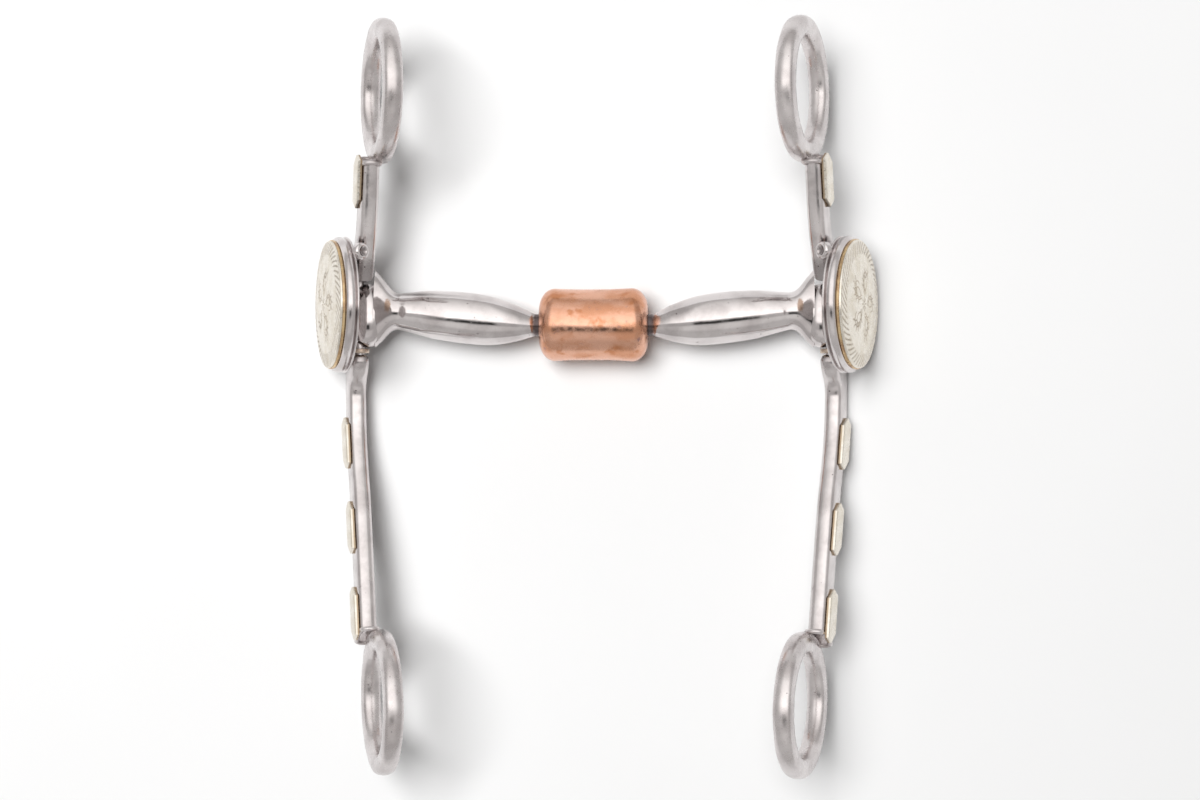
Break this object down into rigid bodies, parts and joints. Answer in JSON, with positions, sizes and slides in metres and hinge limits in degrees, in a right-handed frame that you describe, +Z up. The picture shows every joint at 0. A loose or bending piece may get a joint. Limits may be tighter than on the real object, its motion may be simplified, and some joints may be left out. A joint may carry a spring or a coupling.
{
  "type": "curb bit",
  "caption": "Western curb bit: loose swivelling steel cheeks with silver conchos and overlays, and a broken mouthpiece whose centre joint turns inside a copper roller.",
  "frame": {"origin": "Middle of the footprint on the table the bit lies on, midway between the outer ends of the headstall and rein rings", "axes": "+X along the mouthpiece toward the right cheek as seen from above, +Y along the cheeks toward the headstall rings, +Z up from the table, which is the side of the bit that faces forward off the horse's chin when the cheeks hang"},
  "size_m": [0.1606, 0.207, 0.0489],
  "materials": {
    "polished_steel": "polished, lightly tarnished in the corners",
    "german_silver": "warm white alloy, engraved on the conchos",
    "brass": "satin, worn",
    "copper": "polished with tarnish spots"
  },
  "bodies": {
    "centre_joint": {"joint_rivet": "polished_steel"},
    "roller": {"copper_roller": "copper"},
    "left_arm": {"left_mouth_arm": "polished_steel"},
    "right_arm": {"right_mouth_arm": "polished_steel"},
    "left_cheek": {"left_cheek_bar": "polished_steel", "left_headstall_ring": "polished_steel", "left_rein_ring": "polished_steel", "left_purchase_overlay": "german_silver", "left_shank_overlay_1": "german_silver", "left_shank_overlay_2": "german_silver", "left_shank_overlay_3": "german_silver", "left_concho_cup": "polished_steel", "left_concho_edge": "brass", "left_concho_face": "german_silver", "left_upper_concho_stud": "polished_steel", "left_lower_concho_stud": "polished_steel", "left_swivel_pin": "polished_steel", "left_swivel_washer": "brass"},
    "right_cheek": {"right_cheek_bar": "polished_steel", "right_headstall_ring": "polished_steel", "right_rein_ring": "polished_steel", "right_purchase_overlay": "german_silver", "right_shank_overlay_1": "german_silver", "right_shank_overlay_2": "german_silver", "right_shank_overlay_3": "german_silver", "right_concho_cup": "polished_steel", "right_concho_edge": "brass", "right_concho_face": "german_silver", "right_upper_concho_stud": "polished_steel", "right_lower_concho_stud": "polished_steel", "right_swivel_pin": "polished_steel", "right_swivel_washer": "brass"}
  },
  "joints": [
    {"name": "left_flex", "type": "hinge", "parent": "centre_joint", "child": "left_arm", "pos_m": [0, 0.02015, 0.01073], "axis": [0, 0, -1], "range_deg": [-5, 5]},
    {"name": "right_flex", "type": "hinge", "parent": "centre_joint", "child": "right_arm", "pos_m": [0, 0.02015, 0.01073], "axis": [0, 0, 1], "range_deg": [-5, 5]},
    {"name": "roller_spin", "type": "hinge", "parent": "centre_joint", "child": "roller", "pos_m": [0, 0.02015, 0.01073], "axis": [1, 0, 0], "continuous": true},
    {"name": "left_cheek_swivel", "type": "hinge", "parent": "left_arm", "child": "left_cheek", "pos_m": [-0.0662, 0.02415, 0.01073], "axis": [0, -1, 0], "range_deg": [0, 36]},
    {"name": "right_cheek_swivel", "type": "hinge", "parent": "right_arm", "child": "right_cheek", "pos_m": [0.0662, 0.02415, 0.01073], "axis": [0, 1, 0], "range_deg": [0, 36]}
  ]
}
